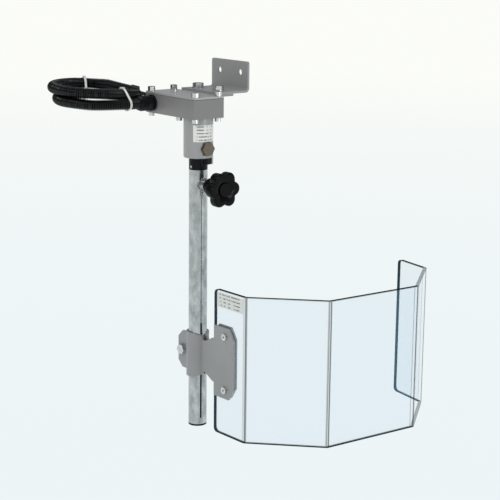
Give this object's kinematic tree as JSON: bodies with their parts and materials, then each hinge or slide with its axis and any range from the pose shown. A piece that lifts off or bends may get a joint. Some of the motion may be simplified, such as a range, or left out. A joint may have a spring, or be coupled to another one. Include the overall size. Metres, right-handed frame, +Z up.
{
  "type": "interlocked machine guard",
  "caption": "Swing-away clear chuck guard for a drill press, on a height-adjustable tube under a safety switch box with a coiled conduit.",
  "frame": {"origin": "midway between the two mounting holes, on the rear face of the mounting bracket", "axes": "+X along the switch box, away from the conduit; +Y out of the bracket's rear face into the machine; +Z up"},
  "size_m": [0.3904, 0.4593, 0.4942],
  "materials": {
    "bracket_steel": "zinc-plated sheet",
    "support_steel": "grey paint",
    "box_paint": "satin grey paint",
    "lid_paint": "satin light grey paint",
    "zinc_fixings": "bright zinc",
    "seal_rubber": "matte",
    "label_white": "printed foil",
    "bearing_bronze": "machined bronze",
    "plug_bronze": "yellow-passivated",
    "bright_steel": "ground",
    "switch_case": "moulded",
    "plunger_red": "moulded",
    "gland_plastic": "moulded nylon",
    "conduit_plastic": "corrugated nylon",
    "ferrule_plastic": "moulded",
    "cable_sheath": "smooth sheath",
    "tie_nylon": "natural nylon",
    "cam_brass": "machined",
    "stop_plastic": "moulded nylon",
    "tube_zinc": "bright zinc",
    "boss_steel": "welded and zinc-plated",
    "knob_plastic": "moulded",
    "cap_plastic": "moulded",
    "clamp_steel": "satin grey paint",
    "shield_clear": "clear polycarbonate sheet"
  },
  "bodies": {
    "head": {"mounting_bracket": "bracket_steel", "foot_bolts": "zinc_fixings", "foot_washers": "zinc_fixings", "foot_nuts": "zinc_fixings", "support_angle": "support_steel", "support_screws": "zinc_fixings", "box_body": "box_paint", "box_lid": "lid_paint", "lid_gasket": "seal_rubber", "lid_screws": "zinc_fixings", "base_plate": "box_paint", "base_screws": "zinc_fixings", "turret": "box_paint", "turret_screws": "zinc_fixings", "rating_label": "label_white", "upper_bush": "bearing_bronze", "lower_bush": "bearing_bronze", "retaining_plug": "plug_bronze", "plug_spring": "bright_steel", "plug_ball": "bright_steel", "microswitch": "switch_case", "switch_screws": "zinc_fixings", "gland_body": "gland_plastic", "gland_seal": "seal_rubber", "gland_cap": "gland_plastic", "conduit_lead": "conduit_plastic", "conduit_coil": "conduit_plastic", "conduit_tail": "conduit_plastic", "conduit_ferrule": "ferrule_plastic", "cable_tail": "cable_sheath", "cable_ties": "tie_nylon"},
    "swivel": {"swivel_shaft": "bright_steel", "cam": "cam_brass", "cam_bolt": "zinc_fixings", "stop_bush": "stop_plastic", "stop_pin": "bright_steel", "guide_pin": "bright_steel"},
    "guard": {"guard_tube": "tube_zinc", "tube_plug": "stop_plastic", "knob_boss": "boss_steel", "clamp_front": "clamp_steel", "clamp_rear": "clamp_steel", "clamp_bolt": "zinc_fixings", "clamp_nut": "zinc_fixings", "plate_screws": "zinc_fixings", "plate_nuts": "zinc_fixings", "shield": "shield_clear", "shield_label": "label_white"},
    "pad": {"clamp_pad": "cam_brass"},
    "knob": {"knob_stud": "bright_steel", "clamping_knob": "knob_plastic", "knob_cap": "cap_plastic"},
    "plunger": {"switch_plunger": "plunger_red"}
  },
  "joints": [
    {"name": "guard_swing", "type": "hinge", "parent": "head", "child": "swivel", "pos_m": [0.0315, -0.079, -0.1075], "axis": [0, 0, -1], "range_deg": [0, 180]},
    {"name": "height_slide", "type": "slide", "parent": "swivel", "child": "guard", "axis": [0, 0, -1], "range_m": [0, 0.15]},
    {"name": "pad_slide", "type": "slide", "parent": "guard", "child": "pad", "axis": [1, 0, 0], "range_m": [0, 0.0015]},
    {"name": "knob_turn", "type": "hinge", "parent": "pad", "child": "knob", "pos_m": [0.0315, -0.079, -0.1437], "axis": [1, 0, 0], "range_deg": [0, 360]},
    {"name": "plunger_slide", "type": "slide", "parent": "head", "child": "plunger", "axis": [1, 0, 0], "range_m": [0, 0.0012]}
  ],
  "couplings": [
    {"joint": "knob_turn", "follows": "pad_slide", "rad_per_m": 4188.8},
    {"joint": "plunger_slide", "follows": "guard_swing", "m_per_rad": 0.00038197}
  ]
}
